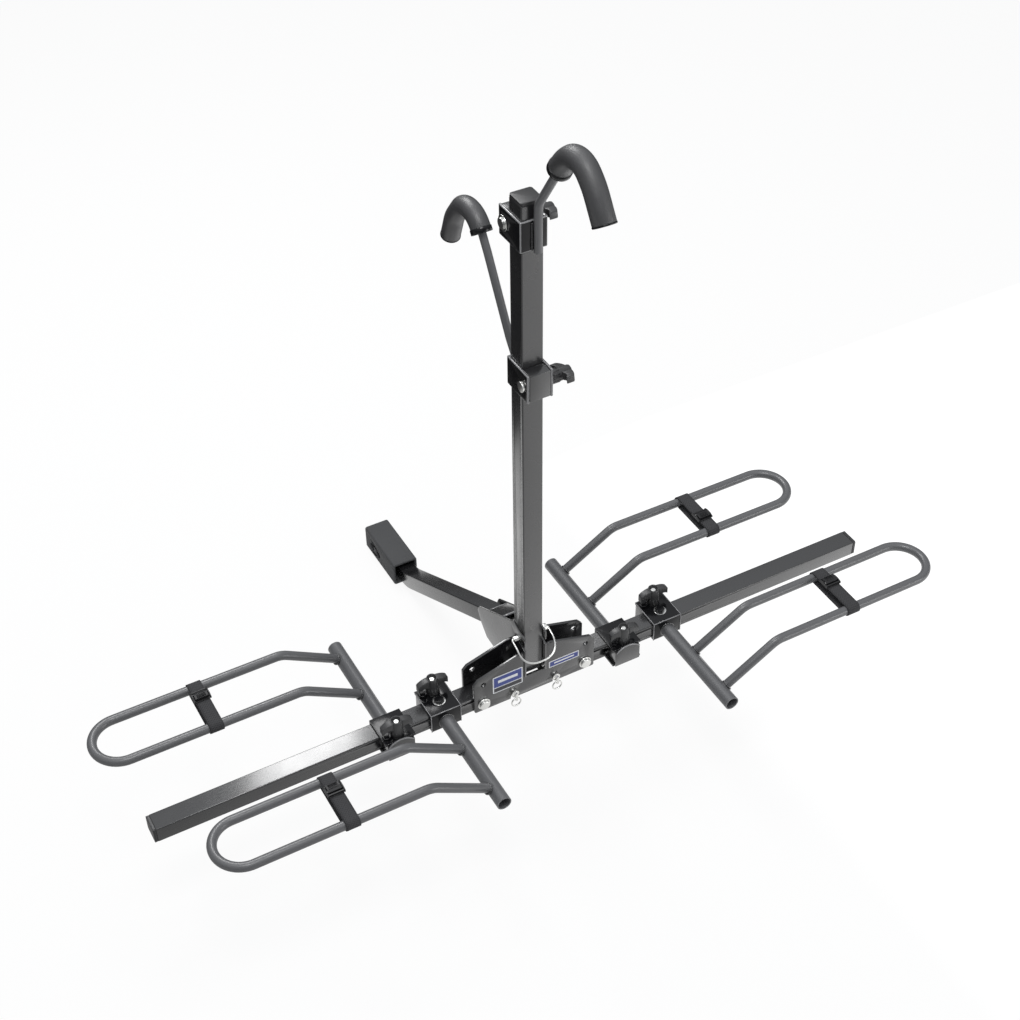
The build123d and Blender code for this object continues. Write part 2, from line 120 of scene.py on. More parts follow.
# %% Helpers for shader nets
def linked(tree, socket, value):
    if isinstance(value, bpy.types.NodeSocket):
        tree.links.new(value, socket)
    else:
        socket.default_value = value


def combined(tree, operation, first, second):
    made = tree.nodes.new("ShaderNodeMath")
    made.operation = operation
    linked(tree, made.inputs[0], first)
    linked(tree, made.inputs[1], second)
    return made.outputs[0]


def ranged(tree, value, out_of, into, curve="LINEAR"):
    made = tree.nodes.new("ShaderNodeMapRange")
    made.interpolation_type = curve
    linked(tree, made.inputs["Value"], value)
    for socket, given in zip(("From Min", "From Max", "To Min", "To Max"), (*out_of, *into)):
        linked(tree, made.inputs[socket], given)
    return made.outputs["Result"]


print("shader helpers ready")

# %% [markdown]
# Powder-coated steel looks flat until it mirrors something. Its tones in the photograph fit a
# studio that grows brighter with height, so the sky here climbs from dim to light. A photographed
# studio could be wrapped round the scene, but a climb made of nodes needs no file. Mirrors see it a
# little stronger than it lights, which keeps the paint black and its shine clear. The camera itself
# sees a plain backdrop.

# %% Sky
SKY_HEIGHTS = (0.05, 0.9)
SKY_STRENGTHS = (0.12, 0.75)
MIRRORED_SKY = 1.3
scene.view_settings.view_transform = "Standard"
world = bpy.data.worlds.new("studio")
scene.world = world
world.use_nodes = True
air = world.node_tree
air.nodes.clear()
seen = air.nodes.new("ShaderNodeLightPath")
heading = air.nodes.new("ShaderNodeTexCoord")
parts = air.nodes.new("ShaderNodeSeparateXYZ")
air.links.new(heading.outputs["Generated"], parts.inputs[0])
climb = ranged(air, parts.outputs["Z"], SKY_HEIGHTS, SKY_STRENGTHS)
boost = ranged(air, seen.outputs["Is Glossy Ray"], (0, 1), (1.0, MIRRORED_SKY))
soft = air.nodes.new("ShaderNodeBackground")
soft.inputs["Color"].default_value = (0.95, 0.97, 1.0, 1)
linked(air, soft.inputs["Strength"], combined(air, "MULTIPLY", climb, boost))
plain = air.nodes.new("ShaderNodeBackground")
pick = air.nodes.new("ShaderNodeMixShader")
out = air.nodes.new("ShaderNodeOutputWorld")
air.links.new(seen.outputs["Is Camera Ray"], pick.inputs[0])
air.links.new(soft.outputs[0], pick.inputs[1])
air.links.new(plain.outputs[0], pick.inputs[2])
air.links.new(pick.outputs[0], out.inputs["Surface"])
print("sky strengths", SKY_STRENGTHS, "mirrored", MIRRORED_SKY)

# %% [markdown]
# A product photograph is lit by a few large soft boxes. One box stands behind the rack, just where
# the left arm's top face mirrors it as a bright patch. The others only lift the dark sides. Sun or
# point lamps would give hard little glints instead.

# %% Lamps
def area_lamp(name, place, aim, size, watts):
    data = bpy.data.lights.new(name, "AREA")
    data.shape = "RECTANGLE"
    data.size, data.size_y = size
    data.energy = watts
    lamp = bpy.data.objects.new(name, data)
    scene.collection.objects.link(lamp)
    lamp.location = place
    lamp.rotation_euler = (Vector(aim) - Vector(place)).to_track_quat("-Z", "Y").to_euler()


middle = (cad_low + cad_high) / 2
LAMPS = (
    ("roof", (0.03, BAR_Y + 1.87, BAR_Z + 2.3), (-0.35, BAR_Y, BAR_Z), (0.85, 1.2), 32),
    ("left wall", (-2.9, BAR_Y + 0.9, 0.5), (0, BAR_Y, 0.3), (1.6, 1.2), 2),
    ("front wall", (2.2, BAR_Y - 2.8, 1.0), middle, (1.6, 1.4), 30),
    ("high key", (-0.6, BAR_Y - 0.8, 3.8), middle, (1.2, 1.2), 45),
)
for lamp in LAMPS:
    area_lamp(*lamp)
print("lamps", len(LAMPS))

# %% [markdown]
# The white floor is half of the picture's light: the mast's left side is bright only where it
# mirrors that floor. A bare white plane would be mirrored everywhere, so the mirrored part ends a
# little behind the rack and fades to dark. The camera sees a pale plane that still takes a shadow.

# %% Floor
FLOOR_DROP = 0.001
MIRROR_ENDS = (BAR_Y + 0.65, BAR_Y + 0.83)
MIRROR_WHITE = 0.84
MIRROR_DARK = 0.06
CAMERA_SHARE = 0.9
bpy.ops.mesh.primitive_plane_add(size=14, location=(0, 0, cad_low[2] - FLOOR_DROP))
floor = bpy.context.object
floor.name = "floor"
floor_mat = bpy.data.materials.new("pale floor")
floor_mat.use_nodes = True
tree = floor_mat.node_tree
tree.nodes.clear()
ray = tree.nodes.new("ShaderNodeLightPath")
spot = tree.nodes.new("ShaderNodeTexCoord")
reach = tree.nodes.new("ShaderNodeSeparateXYZ")
tree.links.new(spot.outputs["Object"], reach.inputs[0])
fade = ranged(tree, reach.outputs["Y"], MIRROR_ENDS, (MIRROR_WHITE, MIRROR_DARK), "SMOOTHSTEP")
sideways = ranged(tree, reach.outputs["X"], (-0.7, 0.7), (0.6, 1.4))
mirrored = combined(tree, "MULTIPLY", fade, sideways)
matt = tree.nodes.new("ShaderNodeBsdfDiffuse")
matt.inputs["Color"].default_value = (0.82, 0.82, 0.82, 1)
glow = tree.nodes.new("ShaderNodeEmission")
strength = combined(tree, "MAXIMUM", mirrored, ray.outputs["Is Camera Ray"])
linked(tree, glow.inputs["Strength"], strength)
half_seen = combined(tree, "MULTIPLY", ray.outputs["Is Camera Ray"], CAMERA_SHARE)
blend = tree.nodes.new("ShaderNodeMixShader")
linked(tree, blend.inputs[0], combined(tree, "MAXIMUM", half_seen, ray.outputs["Is Glossy Ray"]))
end = tree.nodes.new("ShaderNodeOutputMaterial")
tree.links.new(matt.outputs[0], blend.inputs[1])
tree.links.new(glow.outputs[0], blend.inputs[2])
tree.links.new(blend.outputs[0], end.inputs["Surface"])
floor.data.materials.append(floor_mat)
print("floor at z %.4f" % floor.location.z)

# %% [markdown]
# Powder coat is sprayed plastic powder baked on steel. It pools into a faint orange-peel skin and
# is a touch rougher in places. Each finish could carry its own noise, but one node group with four
# sockets does it for all of them, so the skin is written once and tuned per finish.

# %% Skin group shared by the finishes
def skin_group():
    group = bpy.data.node_groups.new("fine skin", "ShaderNodeTree")
    face = group.interface
    for name, value in (("Scale", 900), ("Depth", 0.2), ("Rough", 0.4), ("Spread", 0.08)):
        socket = face.new_socket(name, in_out="INPUT", socket_type="NodeSocketFloat")
        socket.default_value = value
    face.new_socket("Roughness", in_out="OUTPUT", socket_type="NodeSocketFloat")
    face.new_socket("Normal", in_out="OUTPUT", socket_type="NodeSocketVector")
    given = group.nodes.new("NodeGroupInput").outputs
    result = group.nodes.new("NodeGroupOutput").inputs
    where = group.nodes.new("ShaderNodeTexCoord").outputs["Object"]
    grain = group.nodes.new("ShaderNodeTexNoise")
    grain.inputs["Detail"].default_value = 3
    patch = group.nodes.new("ShaderNodeTexNoise")
    patch.inputs["Scale"].default_value = 14
    patch.inputs["Detail"].default_value = 4
    bump = group.nodes.new("ShaderNodeBump")
    bump.inputs["Distance"].default_value = 0.0004
    lower = combined(group, "SUBTRACT", given["Rough"], given["Spread"])
    upper = combined(group, "ADD", given["Rough"], given["Spread"])
    rough = ranged(group, patch.outputs["Fac"], (0.3, 0.7), (lower, upper))
    link = group.links.new
    link(where, grain.inputs["Vector"])
    link(where, patch.inputs["Vector"])
    link(given["Scale"], grain.inputs["Scale"])
    link(grain.outputs["Fac"], bump.inputs["Height"])
    link(given["Depth"], bump.inputs["Strength"])
    link(rough, result["Roughness"])
    link(bump.outputs["Normal"], result["Normal"])
    return group


SKIN = skin_group()
print("group inputs", [s.name for s in SKIN.interface.items_tree if s.in_out == "INPUT"])

# %% [markdown]
# Paint, zinc, plastic and cloth differ in colour, roughness and shine, but not in kind. So each
# finish is one Principled shader fed by the skin group, and one helper sets the values that differ.
# The clear coat over the frame's paint has its own, finer roughness.

# %% Helper that makes a finish
COAT_ROUGH = 0.16


def coated(name, colour, rough, metal=0.0, scale=900, depth=0.2, spread=0.07, coat=0.0, shine=0.5):
    mat = bpy.data.materials.new(name)
    mat.use_nodes = True
    shader = mat.node_tree.nodes["Principled BSDF"]
    shader.inputs["Base Color"].default_value = (*colour, 1)
    shader.inputs["Metallic"].default_value = metal
    shader.inputs["Specular IOR Level"].default_value = shine
    shader.inputs["Coat Weight"].default_value = coat
    shader.inputs["Coat Roughness"].default_value = COAT_ROUGH
    skin = mat.node_tree.nodes.new("ShaderNodeGroup")
    skin.node_tree = SKIN
    for socket, value in (("Scale", scale), ("Depth", depth), ("Rough", rough), ("Spread", spread)):
        skin.inputs[socket].default_value = value
    for socket in ("Roughness", "Normal"):
        mat.node_tree.links.new(skin.outputs[socket], shader.inputs[socket])
    return mat


print("coat roughness", COAT_ROUGH)

# %% [markdown]
# The frame is a deep black gloss whose grey comes from what it mirrors, the rods are satin, the
# bolts bright zinc, and the knobs, buckles and foam three dull blacks. A grey paint on the frame
# would match the photograph from one side only, so it stays black and the shine does the work.

# %% Finishes
FINISHES = {
    "frame_paint": coated(
        "deep black coat", (0.012, 0.012, 0.013), 0.26, scale=1100, depth=0.07, coat=1.0, shine=0.6
    ),
    "rod_paint": coated(
        "satin black rod coat", (0.092, 0.093, 0.097), 0.42,
        scale=1100, depth=0.3, coat=0.25, shine=0.6,
    ),
    "clamp_paint": coated(
        "gloss black coat", (0.006, 0.006, 0.007), 0.2, scale=500, depth=0.1, shine=0.28
    ),
    # Painted highlight: a light grey with a coat, put on bracket bevels, jaw lips, bracket edges
    # and tie plate folds where bright lines show.
    "edge_highlight_paint": coated(
        "painted edge highlight", (0.2, 0.2, 0.205), 0.3, scale=500, depth=0.1, coat=0.8, shine=0.9
    ),
    "sleeve_paint": coated(
        "hard black coat", (0.064, 0.065, 0.067), 0.6, scale=700, depth=0.3, shine=0.15
    ),
    "zinc": coated("bright zinc", (0.78, 0.78, 0.76), 0.28, metal=1.0, scale=300, depth=0.05),
    "plastic": coated("black plastic", (0.022, 0.022, 0.023), 0.4, scale=1500, depth=0.1),
    "knob_plastic": coated("knob plastic", (0.036, 0.036, 0.037), 0.36, scale=1500, depth=0.1),
    "buckle_plastic": coated(
        "buckle plastic", (0.011, 0.011, 0.012), 0.42, scale=1500, depth=0.1, shine=0.35
    ),
    "webbing": coated(
        "black webbing", (0.034, 0.034, 0.036), 0.75, scale=1500, depth=0.3, shine=0.3
    ),
    "foam": coated(
        "black foam", (0.036, 0.036, 0.038), 0.47,
        scale=700, depth=0.9, spread=0.12, coat=0.08, shine=0.9,
    ),
}
print("finishes", len(FINISHES))

# %% [markdown]
# Webbing is woven, and its ribs show as fine slanting lines. Threads could be modelled one by one,
# but at this size two wave textures do: their sum lifts the surface a little and darkens the
# valleys between the ribs.

# %% Weave on the webbing
WEAVE_RIBS = 120
WEAVE_SHADES = (0.6, 1.3)


def add_weave(mat, ribs):
    tree = mat.node_tree
    shader = tree.nodes["Principled BSDF"]
    where = tree.nodes.new("ShaderNodeTexCoord")
    waves = []
    for direction in ("X", "DIAGONAL"):
        wave = tree.nodes.new("ShaderNodeTexWave")
        wave.bands_direction = direction
        wave.inputs["Scale"].default_value = ribs
        tree.links.new(where.outputs["Object"], wave.inputs["Vector"])
        waves.append(wave.outputs["Fac"])
    height = combined(tree, "ADD", *waves)
    cloth = tree.nodes.new("ShaderNodeBump")
    cloth.inputs["Strength"].default_value = 0.6
    cloth.inputs["Distance"].default_value = 0.0005
    tint = tree.nodes.new("ShaderNodeVectorMath")
    tint.operation = "SCALE"
    tint.inputs[0].default_value = shader.inputs["Base Color"].default_value[:3]
    tree.links.new(height, cloth.inputs["Height"])
    tree.links.new(ranged(tree, height, (0, 1), WEAVE_SHADES), tint.inputs["Scale"])
    tree.links.new(tint.outputs["Vector"], shader.inputs["Base Color"])
    tree.links.new(cloth.outputs["Normal"], shader.inputs["Normal"])


add_weave(FINISHES["webbing"], WEAVE_RIBS)
print("ribs per metre", WEAVE_RIBS)

# %% [markdown]
# The solids get their finishes by the slot that the record names for them. A wheel hoop's bracket
# is a special case: it is gloss black round the crossbar, but the support tube welded to it is
# satin like the rods. Its faces are told apart by how far they lie from the crossbar's middle.

# %% Finishes on the solids
BRACKET_WALL = 0.0217
ROD_FACE = 1
EDGE_HIGHLIGHT_FACE = 2
slots = {part["node"]: part["material_slot"] for part in frame["record"]["subparts"]}
for name, obj in nodes.items():
    finish = FINISHES["rod_paint" if name.endswith("_rod") else slots[name]]
    obj.data.materials.clear()
    obj.data.materials.append(finish)
    # Brackets get two more slots: the satin rod paint, and a light grey that is a painted highlight
    # on their bevel faces.
    if name.endswith("_bracket"):
        obj.data.materials.append(FINISHES["rod_paint"])
        obj.data.materials.append(FINISHES["edge_highlight_paint"])
for hoop, (side, tube) in HOOP_SIDES.items():
    solid = nodes[f"{hoop}_bracket"]
    for face in solid.data.polygons:
        face_at = solid.matrix_world @ face.center
        if (face_at.y - BAR_Y) * tube > BRACKET_WALL + 0.0001:
            face.material_index = ROD_FACE
print("solids dressed", len(nodes))

# %% [markdown]
# Real sheet steel never has a knife edge, and a rolled square tube has rounder corners still. The
# solids arrive as loose triangles, so each one is welded by a modifier first, and then a narrow
# bevel catches the light along its sharp edges. A modifier leaves the measured solid itself alone.

# %% Soft edges on the solids
EDGE_ANGLE = math.radians(34)
EDGE_WIDTH = {
    "frame_paint": 0.0007,
    "clamp_paint": 0.0017,
    "sleeve_paint": 0.0009,
    "zinc": 0.0005,
    "plastic": 0.0006,
}
TUBE_CORNERS = {
    "mast_tube": 0.0022,
    "left_arm_tube": 0.0022,
    "right_arm_tube": 0.0022,
    "shank_tube": 0.0026,
    "adapter_sleeve": 0.002,
}
WELD_GAP = 0.00001
for name, obj in nodes.items():
    width = TUBE_CORNERS.get(name, EDGE_WIDTH.get(slots[name]))
    if width is None:
        continue
    join = obj.modifiers.new("join", "WELD")
    join.merge_threshold = WELD_GAP
    edge = obj.modifiers.new("edge", "BEVEL")
    edge.width = width
    edge.segments = 2
    edge.limit_method = "ANGLE"
    edge.angle_limit = EDGE_ANGLE
    edge.harden_normals = False
    # The bevel faces of the brackets take the light grey slot, a painted highlight along their
    # sharp edges.
    if name.endswith("_bracket"):
        edge.material = EDGE_HIGHLIGHT_FACE
    obj.data.polygons.foreach_set("use_smooth", [True] * len(obj.data.polygons))
    obj.data.update()
print("edges softened on", len([o for o in nodes.values() if o.modifiers]))

# %% [markdown]
# Every piece made below ends the same way: its bmesh becomes an object at the origin, gets a
# finish and rides on a body. One helper does all of it, and a second one bevels the sharp edges of
# a piece before that.

# %% Helpers that finish a piece
def piece(bm, name, finish, body, smooth=True):
    bmesh.ops.recalc_face_normals(bm, faces=bm.faces)
    mesh = bpy.data.meshes.new(name)
    bm.to_mesh(mesh)
    bm.free()
    obj = bpy.data.objects.new(name, mesh)
    scene.collection.objects.link(obj)
    mesh.materials.append(FINISHES[finish])
    mesh.polygons.foreach_set("use_smooth", [smooth] * len(mesh.polygons))
    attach(obj, body)
    return obj


def soften(bm, width, segments=2, angle=30):
    sharp = [e for e in bm.edges if e.is_manifold and e.calc_face_angle(0) > math.radians(angle)]
    bmesh.ops.bevel(
        bm, geom=sharp, offset=width, segments=segments, affect="EDGES", profile=0.5,
        material=-1, clamp_overlap=True,
    )


print("piece helpers ready")

# %% [markdown]
# A pressed or moulded part is an outline given a depth, or a box. Modifiers could give the depth
# too, but here it is pulled out of the bmesh at once, so the piece is solid from the start. Two
# small helpers turn a shape by a quarter and face it along any direction.

# %% Helpers for flat and boxy shapes
X = Vector((1, 0, 0))
Y = Vector((0, 1, 0))
Z = Vector((0, 0, 1))
FULL_TURN = 2 * math.pi


def quarter(axis):
    return Matrix.Rotation(math.pi / 2, 3, axis)


def facing(centre, away):
    return Matrix.Translation(centre) @ away.to_track_quat("Z", "Y").to_matrix().to_4x4()


def pulled_out(bm, faces, step):
    grown = bmesh.ops.extrude_face_region(bm, geom=faces)["geom"]
    moved = [v for v in grown if isinstance(v, bmesh.types.BMVert)]
    bmesh.ops.translate(bm, verts=moved, vec=step)


def prism(bm, outline, axis_u, axis_v, start, depth):
    verts = [bm.verts.new(start + axis_u * u + axis_v * v) for u, v in outline]
    pulled_out(bm, [bm.faces.new(verts)], depth)


def box_at(bm, low, high):
    made = bmesh.ops.create_cube(bm, size=1)["verts"]
    bmesh.ops.scale(bm, verts=made, vec=Vector(high) - Vector(low))
    bmesh.ops.translate(bm, verts=made, vec=(Vector(high) + Vector(low)) / 2)
    return made


print("flat shape helpers ready")

# %% [markdown]
# A turned part is a line spun round an axis, and a bent wire or a bead is a round section carried
# along a path. Curve objects could do the second one too, but a bmesh gives closed ends and an even
# skin. The section is kept from twisting by turning its side as little as the path allows.

# %% Helpers for round shapes
def turned(bm, line, steps=40):
    verts = [bm.verts.new((r, 0, w)) for r, w in line]
    edges = [bm.edges.new((verts[i], verts[(i + 1) % len(verts)])) for i in range(len(verts))]
    bmesh.ops.spin(
        bm, geom=verts + edges, cent=(0, 0, 0), axis=(0, 0, 1), angle=FULL_TURN, steps=steps,
        use_merge=True,
    )
    bmesh.ops.remove_doubles(bm, verts=bm.verts, dist=0.000001)


def tube_along(bm, points, radius, steps=10):
    rings = []
    side = None
    for i, point in enumerate(points):
        ahead = points[min(i + 1, len(points) - 1)]
        behind = points[max(i - 1, 0)]
        along = (ahead - behind).normalized()
        if side is None:
            side = along.orthogonal()
        side = (side - along * side.dot(along)).normalized()
        up = along.cross(side)
        turns = [FULL_TURN * k / steps for k in range(steps)]
        rings.append([
            bm.verts.new(point + (side * math.cos(turn) + up * math.sin(turn)) * radius)
            for turn in turns
        ])
    for first, second in zip(rings, rings[1:]):
        for k in range(steps):
            after = (k + 1) % steps
            bm.faces.new((first[k], first[after], second[after], second[k]))
    bm.faces.new(rings[0])
    bm.faces.new(rings[-1])


print("round shape helpers ready")

# %% [markdown]
# The strap that holds a wheel is a loop of webbing drawn tight round both legs of a hoop. A circle
# of vertices pulled apart into two halves gives exactly that band, and it is then drawn out to its
# width. Cloth could be simulated here, but a tight strap doesn't sag, and its length is known.

# %% Webbing straps
STRAP_WIDE = 0.024
STRAP_THICK = 0.0018
STRAP_ROWS = 4
ROUND_STEPS = 40
ROD_R = 0.008


def strap_band(hoop):
    rod_low, rod_high = box_of(f"{hoop}_loop_rod")
    strap_low, strap_high = box_of(f"{hoop}_strap")
    near = rod_low.y + ROD_R
    far = rod_high.y - ROD_R
    centre = Vector(((strap_low.x + strap_high.x) / 2, (near + far) / 2, rod_high.z - ROD_R))
    half = (far - near) / 2
    radius = ROD_R + 0.0004
    bm = bmesh.new()
    ring = bmesh.ops.create_circle(bm, segments=ROUND_STEPS, radius=radius, cap_ends=False)["verts"]
    bmesh.ops.rotate(bm, verts=ring, cent=(0, 0, 0), matrix=quarter("Y"))
    ahead = [v for v in ring if v.co.y > 0.00001]
    behind = [v for v in ring if v.co.y < -0.00001]
    bmesh.ops.translate(bm, verts=ahead, vec=(0, half, 0))
    bmesh.ops.translate(bm, verts=behind, vec=(0, -half, 0))
    bmesh.ops.translate(bm, verts=ring, vec=centre - X * (STRAP_WIDE / 2))
    for row in range(STRAP_ROWS):
        rim_x = centre.x - STRAP_WIDE / 2 + row * STRAP_WIDE / STRAP_ROWS
        rim = [e for e in bm.edges if all(abs(v.co.x - rim_x) < 1e-6 for v in e.verts)]
        grown = bmesh.ops.extrude_edge_only(bm, edges=rim)["geom"]
        moved = [v for v in grown if isinstance(v, bmesh.types.BMVert)]
        bmesh.ops.translate(bm, verts=moved, vec=X * (STRAP_WIDE / STRAP_ROWS))
    return bm, 4 * half + FULL_TURN * radius


for hoop in HOOP_SIDES:
    bm, length = strap_band(hoop)
    band = piece(bm, f"{hoop}_webbing", "webbing", f"{hoop}_hoop")
    thick = band.modifiers.new("cloth", "SOLIDIFY")
    thick.thickness = STRAP_THICK
    thick.offset = 1
    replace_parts(band, f"{hoop}_strap")
    print(hoop, "strap length %.3f m" % length)

# %% [markdown]
# Each strap closes in a small plastic buckle: a tray with two side walls, a cross bar and a cam
# lever with finger ribs. One carved block could stand for it, but separate boxes and short prisms
# keep the gaps that make it read as a buckle. It is built flat at the origin, lever up.

# %% Buckle tray and lever
BUCKLE_WALL = 0.0024
FINGER_RIBS = 4


def buckle_shape(wide, deep):
    bm = bmesh.new()
    box_at(bm, (-wide + 0.001, -deep, 0.0002), (wide - 0.001, deep, 0.0018))
    wall = [
        (-deep, 0), (deep, 0), (deep, 0.0042), (deep * 0.35, 0.0062), (-deep * 0.3, 0.0062),
        (-deep, 0.0035),
    ]
    for side in (-1, 1):
        prism(bm, wall, Y, Z, X * (side * wide) - X * (BUCKLE_WALL / 2), X * BUCKLE_WALL)
    box_at(bm, (-wide, deep - 0.004, 0.0022), (wide, deep - 0.0012, 0.0044))
    lever = [
        (-deep * 0.75, 0.0026), (deep * 0.5, 0.0026), (deep * 0.5, 0.0058), (0, 0.0078),
        (-deep * 0.75, 0.0066),
    ]
    prism(bm, lever, Y, Z, X * -(wide - 0.0022), X * (2 * wide - 0.0044))
    for rib in range(FINGER_RIBS):
        y = -deep * 0.62 + rib * 0.0026
        box_at(bm, (-wide + 0.006, y, 0.0066), (wide - 0.006, y + 0.0011, 0.0084))
    soften(bm, 0.0005)
    return bm


print("buckle wall %.4f m" % BUCKLE_WALL)

# %% [markdown]
# The tray lies on the webbing, its lever towards the crossbar, so the near buckles are turned half
# round. The lever swings on a short zinc pin, which is drawn as a plain rod through both walls.

# %% Buckles put on their straps
PIN_R = 0.0012


def buckle(hoop):
    body = f"{hoop}_hoop"
    tube = HOOP_SIDES[hoop][1]
    low, high = box_of(f"{hoop}_buckle")
    wide = (high.x - low.x) / 2 - 0.0012
    deep = (high.y - low.y) / 2 - 0.002
    centre = (low + high) / 2
    bm = buckle_shape(wide, deep)
    if tube < 0:
        half_turn = Matrix.Rotation(math.pi, 3, "Z")
        bmesh.ops.rotate(bm, verts=bm.verts, cent=(0, 0, 0), matrix=half_turn)
    bmesh.ops.translate(bm, verts=bm.verts, vec=(centre.x, centre.y, low.z))
    tray = piece(
        bm, f"{hoop}_cam_buckle", "buckle_plastic", body, smooth=False
    )
    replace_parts(tray, f"{hoop}_buckle")
    pin = bmesh.new()
    made = bmesh.ops.create_cone(
        pin, segments=16, radius1=PIN_R, radius2=PIN_R, depth=2 * wide + 0.002, cap_ends=True
    )["verts"]
    bmesh.ops.rotate(pin, verts=made, cent=(0, 0, 0), matrix=quarter("Y"))
    pin_at = Vector((centre.x, centre.y + tube * deep * 0.25, low.z + 0.0046))
    bmesh.ops.translate(pin, verts=made, vec=pin_at)
    piece(pin, f"{hoop}_buckle_pin", "zinc", body)


for hoop in HOOP_SIDES:
    buckle(hoop)
print("buckles", len(HOOP_SIDES))

# %% [markdown]
# The foam sleeves on the hooks are soft tubes pulled over the bent rod. They could be swept again,
# but the measured tube already has the right bend, so a copy of it is welded and only its rims are
# rounded, as cut foam relaxes there.

# %% Foam sleeves
FOAM_RIM = 0.0014
CUT_ANGLE = math.radians(60)


def welded_copy(node):
    bm = bmesh.new()
    bm.from_mesh(nodes[node].data)
    bm.transform(nodes[node].matrix_world)
    bmesh.ops.remove_doubles(bm, verts=bm.verts, dist=WELD_GAP)
    rims = [e for e in bm.edges if e.is_manifold and e.calc_face_angle(0) > CUT_ANGLE]
    return bm, rims


for hook in ("upper", "lower"):
    bm, rims = welded_copy(f"{hook}_hook_foam")
    bmesh.ops.bevel(
        bm, geom=rims, offset=FOAM_RIM, segments=3, affect="EDGES", profile=0.5, material=-1,
        clamp_overlap=True,
    )
    sleeve = piece(bm, f"{hook}_foam_sleeve", "foam", f"{hook}_hook")
    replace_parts(sleeve, f"{hook}_hook_foam")
    print(sleeve.name, len(sleeve.data.polygons), "faces")

# %% [markdown]
# The foam's two cut ends are needed next, for the dark rings there. Typed places would miss if the
# bend changed, so they are found in the solid itself: faces that lie between two sharp rims, added
# up per direction, of which only the two large groups are ends.

# %% Finding the cut ends of the foam
SAME_WAY = 0.999


def cut_ends(node):
    bm, sharp = welded_copy(node)
    rim = {v for e in sharp for v in e.verts}
    ends = []
    for face in bm.faces:
        if not all(v in rim for v in face.verts):
            continue
        area = face.calc_area()
        for end in ends:
            if end["normal"].dot(face.normal) > SAME_WAY:
                end["sum"] += face.calc_center_median() * area
                end["area"] += area
                break
        else:
            ends.append({
                "normal": face.normal.copy(),
                "sum": face.calc_center_median() * area,
                "area": area,
            })
    bm.free()
    full = max(end["area"] for end in ends)
    return [(end["sum"] / end["area"], end["normal"]) for end in ends if end["area"] > 0.6 * full]


print("ends", [len(cut_ends(f"{hook}_hook_foam")) for hook in ("upper", "lower")])

# %% [markdown]
# The photograph shows a dark band at each end of the foam sleeves: a long one where the rod leaves
# the foam, nearer to the mast, and a thin one at the free end. It is too small to tell what the
# band is. A strip of paint would do from afar, but a turned ring in the black clamp paint, a little
# proud of the foam, draws each band and also gives the end an edge of its own.

# %% Dark rings at the ends of the foam
HOOK_ROD_R = 0.00625
FOAM_R = {"upper": 0.0165, "lower": 0.0155}
END_BAND_LONG = (0.0085, 0.003)
END_BAND_PROUD = (0.0011, 0.0004)


def from_mast(end):
    return math.hypot(end[0].x, end[0].y - BAR_Y)


for hook in ("upper", "lower"):
    ends = sorted(cut_ends(f"{hook}_hook_foam"), key=from_mast)
    for k, (centre, normal) in enumerate(ends):
        rim_r = FOAM_R[hook] + END_BAND_PROUD[k]
        inner = HOOK_ROD_R + 0.0001
        back = -END_BAND_LONG[k]
        bm = bmesh.new()
        turned(bm, [
            (inner, back), (rim_r - 0.0006, back), (rim_r, 0.0008 + back),
            (rim_r, -0.0006), (rim_r - 0.0008, 0.0002), (inner, 0.0002),
        ])
        bm.transform(facing(centre, normal))
        piece(bm, f"{hook}_foam_end_band_{k}", "clamp_paint", f"{hook}_hook")
        print(hook, "foam end", [round(v, 3) for v in centre])

# %% [markdown]
# The bail is one bent wire. Its legs leave the two ends of the mast's lock pin, and its foot is a
# round bow. The solid has square corners there, so the wire is drawn again as half an ellipse in
# the plane of the legs, with a short eased corner where each leg turns into the pin.

# %% Wire bail
WIRE_R = 0.00175
WIRE_CORNER = 0.0026
BOW_STEPS = 28
BOW_POWER = 0.8
PIN_REACH = 0.007
wire_low, wire_high = box_of("wire_bail")
leg_x = (wire_low.x + WIRE_R, wire_high.x - WIRE_R)
half_bow = (leg_x[1] - leg_x[0]) / 2
knee = Vector(((leg_x[0] + leg_x[1]) / 2, BAR_Y - 0.018, BAR_Z + 0.091))
sag = Vector((0, BAR_Y - 0.042, BAR_Z + 0.069)) - Vector((0, knee.y, knee.z))
bow = []
for i in range(BOW_STEPS + 1):
    turn = math.pi * i / BOW_STEPS
    across = -math.copysign(abs(math.cos(turn)) ** BOW_POWER, math.cos(turn)) * half_bow
    bow.append(knee + X * across + sag * math.sin(turn) ** BOW_POWER)


def eased(corner, before, after, radius):
    first = corner + (before - corner).normalized() * radius
    last = corner + (after - corner).normalized() * radius
    return [
        first.lerp(corner, t).lerp(corner.lerp(last, t), t) for t in (0, 0.25, 0.5, 0.75, 1)
    ]


left_corner, right_corner = [Vector((x, BAR_Y, BAR_Z + 0.098)) for x in leg_x]
left_tip = left_corner + X * PIN_REACH
right_tip = right_corner - X * PIN_REACH
wire_line = [left_tip] + eased(left_corner, left_tip, bow[0], WIRE_CORNER)
wire_line += bow + eased(right_corner, bow[-1], right_tip, WIRE_CORNER) + [right_tip]
bm = bmesh.new()
tube_along(bm, wire_line, WIRE_R, steps=12)
bail_wire = piece(bm, "bail_wire", "zinc", "bail")
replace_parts(bail_wire, "wire_bail")
print("bail wire points", len(wire_line))

# %% [markdown]
# The clamp knobs are moulded T handles with two wings that droop away from a hub. A sculpted block
# would do for one of them. Here each wing is an arched outline given a thickness and a slight
# taper, so six equal knobs come from a few numbers.

# %% Wings of the tee knobs
WING_ROOT = 0.0078
WING_HALF = 0.0275
WING_THICK = 0.0134
WING_STEPS = 9
WING_TAPER = 0.18
CREST = 0.0336


